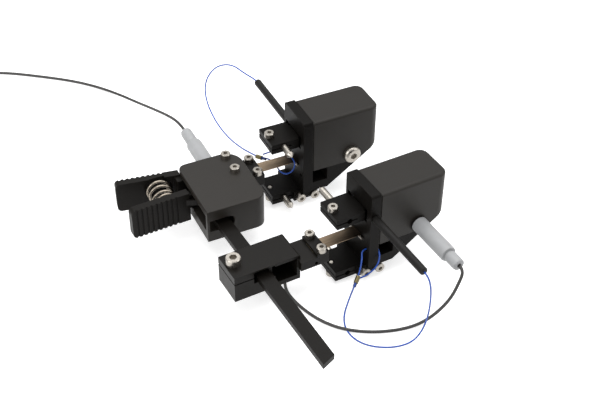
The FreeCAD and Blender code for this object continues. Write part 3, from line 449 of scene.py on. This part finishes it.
stainless = metal("stainless", (0.43, 0.405, 0.365), (0.33, 0.305, 0.27),
                  0.22, (1.0, 1.0, 6.0), 1500.0, 0.006)
# The leaf gets a painted shadow of the measuring arm past 2.5 mm along X
leaf_steel = metal("leaf_steel", (0.37, 0.285, 0.2), (0.25, 0.19, 0.132),
                   0.36, (0.04, 1.0, 1.0), 4500.0, 0.004, 2.5)
spring_steel = metal("spring_steel", (0.34, 0.3, 0.25), (0.22, 0.19, 0.155),
                     0.2, (1.0, 1.0, 1.0), 1500.0, 0.004)
plated = metal("plated_shell", (0.5, 0.49, 0.47), (0.42, 0.41, 0.39),
               0.24, (1.0, 0.1, 1.0), 2500.0, 0.004)
brass = metal("gauge_strip", (0.6, 0.46, 0.2), (0.5, 0.36, 0.14),
              0.3, (1.0, 1.0, 0.1), 2500.0, 0.003)
olive_crimp = metal("crimp_sleeve", (0.2, 0.17, 0.085), (0.12, 0.1, 0.05),
                    0.36, (1.0, 1.0, 1.0), 2500.0, 0.02)
print("six metals")

# %% [markdown]
# ## Plastics and jackets
# The plugs are moulded in light grey, slightly blue, and the mould leaves a faint mottle. The cable's
# jacket is a soft black plastic with a fine drawn texture, the safety cord is blue and glossy.

# %% Plastics
def plastic(name, colour, shade, roughness, mottle, grain):
    """Moulded plastic; mottle is how fine its clouds are, grain how deep its skin's texture is."""
    paint = Paint(name)
    cloud = paint.noise(mottle, 4.0)
    fine = paint.noise(mottle * 9, 2.0)
    return paint.surface(
        base_color=paint.blend(paint.ramp(cloud, 0.28, 0.72), opaque(colour), opaque(shade)),
        roughness=roughness + 0.1 * paint.ramp(fine, 0.3, 0.7),
        normal=paint.bump(fine, grain, 0.5, paint.soft_edges(0.12)))


plug_gray = plastic("plug_grey", (0.385, 0.39, 0.397), (0.35, 0.355, 0.362), 0.45, 300.0, 0.012)
jacket = plastic("cable_jacket", (0.016, 0.015, 0.014), (0.03, 0.028, 0.026), 0.42, 900.0, 0.03)
blue = plastic("blue_cord", (0.006, 0.055, 0.34), (0.01, 0.08, 0.44), 0.34, 1500.0, 0.01)
navy = plastic("blue_sleeve", (0.006, 0.02, 0.11), (0.01, 0.03, 0.16), 0.4, 900.0, 0.01)
green = plastic("board_green", (0.02, 0.13, 0.05), (0.03, 0.17, 0.07), 0.4, 300.0, 0.01)
print("five plastics")

# %% [markdown]
# ## Which part wears which finish
# The part's record names a material slot for each piece, so the finishes are given out by slot.
# The case and the covers are given a little lighter black, and the handles, bar, arms and bases
# a darker one than the rest, as the picture shows.

# %% Finish every solid part
finishes = {"black_anodised": black, "stainless": stainless, "leaf_steel": leaf_steel,
            "spring_steel": spring_steel, "blackened_steel": matt_black, "grey_plastic": plug_gray,
            "black_cable": jacket, "blue_cord": blue, "board": green, "brass_strip": brass,
            "crimp_brass": olive_crimp, "connector_metal": plated}
slots = {part["node"]: part["material_slot"] for part in frame["record"]["subparts"]}
for name, node in frame["nodes"].items():
    finish = finishes[slots[name]]
    if name.endswith("cover"):
        finish = cover_black
    elif name == "clamp_body":
        finish = case_black
    elif name.endswith("handle") or name == "guide_bar":
        finish = handle_black
    elif name.endswith("arm") or name.endswith("base"):
        finish = arm_black
    node.data.materials.clear()
    node.data.materials.append(finish)
print("finished", len(slots), "parts with", len(set(slots.values())), "slots")

# %% [markdown]
# ## Turning round pieces
# Moulded plugs, boots and sleeves are bodies of revolution. The outline of one half is drawn as a few
# points, distance along the axis and radius, and spun a full turn. The spun skin is merged where it
# meets itself, and its faces are turned outwards.

# %% A lathe
def piece_from(work, name):
    """Turns the mesh that was built in work into a piece of the scene."""
    mesh = bpy.data.meshes.new(name)
    work.to_mesh(mesh)
    work.free()
    return link(name, mesh)


def lathe(name, outline, start, direction, steps=48):
    """Spins (distance, radius) points, in millimetres, round the line from start."""
    work = bmesh.new()
    points = [work.verts.new((radius * MM, 0.0, distance * MM)) for distance, radius in outline]
    edges = [work.edges.new(pair) for pair in zip(points, points[1:])]
    bmesh.ops.spin(work, geom=points + edges, cent=(0, 0, 0), axis=(0, 0, 1), angle=2 * math.pi,
                   steps=steps, use_merge=True)
    bmesh.ops.remove_doubles(work, verts=work.verts, dist=1e-6)
    bmesh.ops.recalc_face_normals(work, faces=work.faces)
    turn = Vector(direction).to_track_quat("Z", "X").to_matrix().to_4x4()
    bmesh.ops.transform(work, matrix=Matrix.Translation(Vector(start) * MM) @ turn, verts=work.verts)
    piece = piece_from(work, name)
    piece.data.shade_smooth()
    piece.data.set_sharp_from_angle(angle=math.radians(32))
    print(name, len(piece.data.polygons), "faces")
    return piece


def dress(piece, finish, body, slot, *nodes):
    """Finishes a new piece, lets it ride on its body, and hides the parts that it stands for."""
    piece.data.materials.clear()
    piece.data.materials.append(finish)
    if "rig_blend" not in piece:
        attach(piece, body)
    if nodes:
        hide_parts(*nodes)
    return piece


def rounded(outline, at, size):
    """Replaces corner number at by three points of a small round of that size."""
    before, corner, after = (Vector(point) for point in outline[at - 1:at + 2])
    near = corner + (before - corner).normalized() * size
    far = corner + (after - corner).normalized() * size
    middle = (near + far + corner * 2) / 4
    return outline[:at] + [tuple(near), tuple(middle), tuple(far)] + outline[at + 1:]


# %% [markdown]
# ## The two moulded plugs
# A plug is a grey sleeve pushed over the cable's end, with a rounded shoulder, a groove where the
# narrower tail begins, and a tail whose end is rounded into the hole that the cable comes out of.

# %% Plugs
GROOVE_WIDTH, GROOVE_DEPTH = 0.7, 0.6
CABLE_HOLE, CABLE_HOLE_DEPTH = 0.85, 2.5


def plug_outline(wide, shoulder, tail, tail_length):
    """Outline of a plug from its seat over its shoulder to the cable's hole, as (distance, radius)."""
    end = shoulder + tail_length
    outline = [(0.0, 0.0), (0.0, wide), (shoulder, wide), (shoulder, tail - GROOVE_DEPTH),
               (shoulder + GROOVE_WIDTH, tail - GROOVE_DEPTH), (shoulder + GROOVE_WIDTH, tail),
               (end, tail), (end, CABLE_HOLE), (end - CABLE_HOLE_DEPTH, CABLE_HOLE),
               (end - CABLE_HOLE_DEPTH, 0.0)]
    outline = rounded(outline, 6, 0.8)
    outline = rounded(outline, 5, 0.25)
    return rounded(outline, 2, 0.7)


main_plug = lathe("main_plug_moulding", plug_outline(3.15, 21.1, 2.35, 9.0),
                  (MAIN_PLUG_X, 30.4, MAIN_PLUG_Z), (0, 1, 0))
dress(main_plug, plug_gray, "clamp", "grey_plastic", "main_plug")
outward = REST_TURN @ Vector((0, -1, 0))
front_plug = lathe("front_plug_moulding", plug_outline(3.1, 21.0, 2.35, 6.4),
                   on_lever(FRONT_PLUG_X, -34.6, FRONT_PLUG_Z), outward)
dress(front_plug, plug_gray, "front_head", "grey_plastic", "front_plug")

# %% [markdown]
# ## The connector
# The cable ends in a round connector for the testing machine's controller: a ribbed rubber boot, and
# a plated shell with a knurled ring. It lies beside the coil, outside the picture.

# %% Connector boot and knurled ring
# Lays down along Y what was built upright along Z
LAID_DOWN = Matrix.Rotation(math.pi / 2, 4, "X")
BOOT_LENGTH, BOOT_RADIUS = 24.0, 4.95
RIBS, RIB_STEP = 6, 1.9
boot = [(0.0, CABLE_HOLE), (0.0, 2.4)]
for rib in range(RIBS):
    start = rib * RIB_STEP
    boot += [(1.2 + start, 2.6 + rib * 0.22), (1.4 + start, 3.0 + rib * 0.25),
             (2.3 + start, 3.0 + rib * 0.25), (2.5 + start, 2.6 + rib * 0.25)]
boot += [(14.2, 4.3), (15.5, BOOT_RADIUS), (BOOT_LENGTH, BOOT_RADIUS), (BOOT_LENGTH, 0.0)]
grip = lathe("connector_boot", boot, (CONNECTOR_X, CONNECTOR_Y, CONNECTOR_Z), (0, -1, 0))
dress(grip, jacket, "clamp", "black_cable", "connector_grip")

SHELL_START = Vector((CONNECTOR_X, CONNECTOR_Y - BOOT_LENGTH, CONNECTOR_Z))
shell_outline = [(0.0, 0.0), (0.0, 4.8), (0.5, 5.3), (2.4, 5.3), (2.4, 5.0), (12.4, 5.0), (12.4, 5.5),
                 (16.6, 5.5), (17.0, 5.2), (17.0, 4.8), (6.0, 4.8), (6.0, 0.0)]
shell = lathe("connector_barrel", shell_outline, SHELL_START, (0, -1, 0))
dress(shell, plated, "clamp", "connector_metal", "connector_shell")

KNURL_LENGTH, KNURL_WALL, KNURL_NOTCH, KNURL_FACETS = 8.6, 0.7, 0.965, 72
KNURL_MIDDLE = SHELL_START + Vector((0, -7.4, 0))
ring = bmesh.new()
bmesh.ops.create_cone(ring, cap_ends=False, segments=KNURL_FACETS, radius1=KNURL_RADIUS * MM,
                      radius2=KNURL_RADIUS * MM, depth=KNURL_LENGTH * MM)
for vertex in ring.verts:
    # Every other corner of the ring is pressed in
    if round(math.degrees(math.atan2(vertex.co.y, vertex.co.x)) * KNURL_FACETS / 360) % 2:
        vertex.co.x *= KNURL_NOTCH
        vertex.co.y *= KNURL_NOTCH
bmesh.ops.solidify(ring, geom=ring.faces, thickness=KNURL_WALL * MM)
bmesh.ops.recalc_face_normals(ring, faces=ring.faces)
bmesh.ops.transform(ring, verts=ring.verts, matrix=Matrix.Translation(KNURL_MIDDLE * MM) @ LAID_DOWN)
knurl = dress(piece_from(ring, "knurled_ring"), plated, "clamp", "connector_metal")

PIN_CIRCLE, PIN_RADIUS, PIN_LENGTH, PIN_MIDDLE_Y = 2.4, 0.5, 8.4, -10.0
pins = bmesh.new()
for x, z in ((-PIN_CIRCLE, 0), (PIN_CIRCLE, 0), (0, -PIN_CIRCLE), (0, PIN_CIRCLE), (0, 0)):
    middle = SHELL_START + Vector((x, PIN_MIDDLE_Y, z))
    bmesh.ops.create_cone(pins, cap_ends=True, segments=20, radius1=PIN_RADIUS * MM,
                          radius2=PIN_RADIUS * MM, depth=PIN_LENGTH * MM,
                          matrix=Matrix.Translation(middle * MM) @ LAID_DOWN)
contacts = dress(piece_from(pins, "connector_pins"), brass, "clamp", "connector_metal")
print("connector with", len(contacts.data.polygons), "faces of pins")

# %% [markdown]
# ## Springs that bend
# The two leaf springs and the coil between the handles join parts that move against each other. Each
# is modelled as one fine mesh, and its near end follows one part and its far end the other, so that
# it bends in between. The coil's wire is round, and its ends are wound closer than its middle.

# %% Leaf springs and handle spring
LEAF_X0, LEAF_X1 = -13.3, 9.7
LEAF_SIDE_OFFSET = 0.2
LEAF_WIDTH, LEAF_THICKNESS, LEAF_BOTTOM = 5.5, 0.3, 1.35


def leaf(name, y, place, bodies, node):
    """A thin strip along X round the middle line y; place says where its points stand."""
    work = bmesh.new()
    bmesh.ops.create_grid(work, x_segments=60, y_segments=4, size=0.5)
    bmesh.ops.scale(work, vec=(LEAF_X1 - LEAF_X0, LEAF_WIDTH, 1.0), verts=work.verts)
    bmesh.ops.translate(work, vec=((LEAF_X0 + LEAF_X1) / 2, y, LEAF_BOTTOM), verts=work.verts)
    raised = bmesh.ops.extrude_face_region(work, geom=work.faces[:])["geom"]
    top = [item for item in raised if isinstance(item, bmesh.types.BMVert)]
    bmesh.ops.translate(work, vec=(0, 0, LEAF_THICKNESS), verts=top)
    bmesh.ops.recalc_face_normals(work, faces=work.faces)
    for vertex in work.verts:
        vertex.co = place(*vertex.co) * MM
    strip = piece_from(work, name)
    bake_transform(strip, *bodies, start=place(-8.4, y, 1.5) * MM, end=place(6.6, y, 1.5) * MM)
    dress(strip, leaf_steel, bodies[0], "leaf_steel", node)
    print(name, len(strip.data.polygons), "faces")


leaf("rear_leaf", REAR_HEAD_Y - LEAF_SIDE_OFFSET, lambda x, y, z: Vector((x, y, z)),
     ("clamp", "rear_head"), "rear_leaf_spring")
leaf("front_leaf", FRONT_HEAD_Y - LEAF_SIDE_OFFSET, on_lever, ("slide", "front_head"), "front_leaf_spring")

SPRING_X, SPRING_Y0, SPRING_Y1, SPRING_RADIUS, WIRE = -48.2, 19.68, 29.91, 4.35, 1.1
SPRING_TURNS, STEPS_PER_TURN, END_CLOSING = 4, 20, 0.06
coil = []
for step in range(SPRING_TURNS * STEPS_PER_TURN + 1):
    along = step / (SPRING_TURNS * STEPS_PER_TURN)
    closed = along - END_CLOSING * math.sin(2 * math.pi * along)
    angle = 2 * math.pi * SPRING_TURNS * along
    coil.append((SPRING_X + SPRING_RADIUS * math.cos(angle), SPRING_Y0 + (SPRING_Y1 - SPRING_Y0) * closed,
                 SPRING_RADIUS * math.sin(angle)))
coil_spring = cord_mesh("handle_coil_spring", coil, WIRE)[0]
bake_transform(coil_spring, "clamp", "front_lever", start=Vector((SPRING_X, 29.5, 0)) * MM,
         end=Vector((SPRING_X, 20.0, 0)) * MM)
dress(coil_spring, spring_steel, "clamp", "spring_steel", "handle_spring")

# %% [markdown]
# ## Sleeves on the safety cords
# Where a safety cord meets its crimp, a short dark blue shrink sleeve keeps the strands together.

# %% Sleeves
for name, body, bow, loop, near, far, radius in (
        ("front_shrink_sleeve", "front_head", front_bow, front_loop, -1.4, -2.9, 0.6),
        ("rear_shrink_sleeve", "rear_head", rear_bow, rear_loop, 1.4, 3.4, 0.55)):
    # The crimp sits on the loop's first point and lies along the cord, and the sleeve beside it
    along_cord = (loop[1] - Vector(bow[-1])).normalized()
    start, end = loop[0] + along_cord * near, loop[0] + along_cord * far
    length = (end - start).length
    outline = [(0.0, CORD_D / 2), (0.0, radius), (length, radius), (length, CORD_D / 2)]
    dress(lathe(name, outline, start, end - start, 24), navy, body, "blue_cord")

# %% [markdown]
# ## Finishing the cords
# Each cord gets its finish and rides on its body or bends between two, and the solid parts
# that it stands for are hidden.

signal_cable.data.materials.append(jacket)
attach(signal_cable, "clamp")
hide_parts("main_cable", "cable_coil", "connector_lead")
signal_length * MM

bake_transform(link_cable, "slide", "front_head", start=Vector((-15.0, -44.0, -15.0)) * MM,
         end=Vector((30.5, -61.5, 0.0)) * MM)
dress(link_cable, jacket, "slide", "black_cable", "link_cable")
link_length * MM

for piece, line, length, node, bodies, ends in (
        (front_cord, front_line, front_length, "front_lanyard", ("front_head", "front_lock_pin"),
         ((2.0, -50.0, -16.0), (15.0, -67.0, 12.0))),
        (rear_cord, rear_line, rear_length, "rear_lanyard", ("rear_head", "rear_lock_pin"),
         ((-6.0, 50.0, -10.0), (9.0, 66.0, 12.0)))):
    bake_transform(piece, *bodies, start=Vector(ends[0]) * MM, end=Vector(ends[1]) * MM)
    dress(piece, blue, bodies[0], "blue_cord", node)
    length * MM

# %% [markdown]
# ## Floor and light
# The instrument stands on a white table in a white room. The floor is a pale sheet that the camera
# and polished metal see as plain white, darkened only by the instrument's own shadow.

# %% Floor
floor_work = bmesh.new()
bmesh.ops.create_grid(floor_work, x_segments=1, y_segments=1, size=3.0)
bmesh.ops.translate(floor_work, verts=floor_work.verts, vec=(0, 0, FLOOR))
floor = piece_from(floor_work, "studio_floor")
FLOOR_GLOW = 0.62
paper = Paint("floor_paper")
paper.surface(base_color=gray(0.8), roughness=0.9, specular_ior_level=0.1)
rays = paper.tree.nodes.new("ShaderNodeLightPath")
seen = Wire(paper, rays.outputs["Is Camera Ray"]) + Wire(paper, rays.outputs["Is Glossy Ray"])
glow = paper.node("ShaderNodeEmission", {}, {"Color": gray(1.0), "Strength": FLOOR_GLOW})
plain = Wire(paper, paper.shader.outputs[0])
mixed = paper.node("ShaderNodeAddShader", {}, {0: plain, 1: glow})
pick = paper.node("ShaderNodeMixShader", {}, {0: seen, 1: plain, 2: mixed})
paper.tree.links.new(pick.socket, paper.tree.nodes["Material Output"].inputs["Surface"])
floor.data.materials.append(paper.material)

# %% [markdown]
# The room is white. The camera sees it as pure white, polished parts see it a little darker, so that
# they keep some contrast, and it lights everything evenly. Three soft lamps shape the black parts.

# %% Light
ROOM_LIGHT, ROOM_SHINE = 0.32, 0.8
world = bpy.data.worlds.new("white_room")
world.use_nodes = True
bpy.context.scene.world = world
tree = world.node_tree
background = tree.nodes["Background"]
background.inputs["Color"].default_value = gray(1.0)
path = tree.nodes.new("ShaderNodeLightPath")
shine = tree.nodes.new("ShaderNodeMapRange")
shine.inputs["To Min"].default_value = ROOM_LIGHT
shine.inputs["To Max"].default_value = ROOM_SHINE
tree.links.new(path.outputs["Is Glossy Ray"], shine.inputs["Value"])
strength = tree.nodes.new("ShaderNodeMath")
strength.operation = "MAXIMUM"
tree.links.new(shine.outputs[0], strength.inputs[0])
tree.links.new(path.outputs["Is Camera Ray"], strength.inputs[1])
tree.links.new(strength.outputs[0], background.inputs["Strength"])


def softbox(name, place, aim, width, height, power):
    """A soft lamp with a rectangular face, in metres and watts, that looks at aim."""
    lamp = bpy.data.lights.new(name, "AREA")
    lamp.shape = "RECTANGLE"
    lamp.size, lamp.size_y = width, height
    lamp.energy = power
    stand = link(name, lamp)
    stand.location = place
    stand.rotation_mode = "QUATERNION"
    stand.rotation_quaternion = (Vector(aim) - Vector(place)).to_track_quat("-Z", "Y")


softbox("overhead", (0.05, 0.15, 0.75), (0, 0, 0), 0.9, 0.9, 7.0)
softbox("left_window", (-0.7, -0.25, 0.35), (-0.02, 0, 0), 0.6, 0.5, 3.0)
softbox("right_fill", (0.6, -0.35, 0.45), (0, 0, 0), 0.5, 0.5, 1.5)

# %% [markdown]
# ## Hand over
# The view is shown as it is lit, with no film look.

# %% Finish
scene = bpy.context.scene
scene.view_settings.view_transform = "Standard"
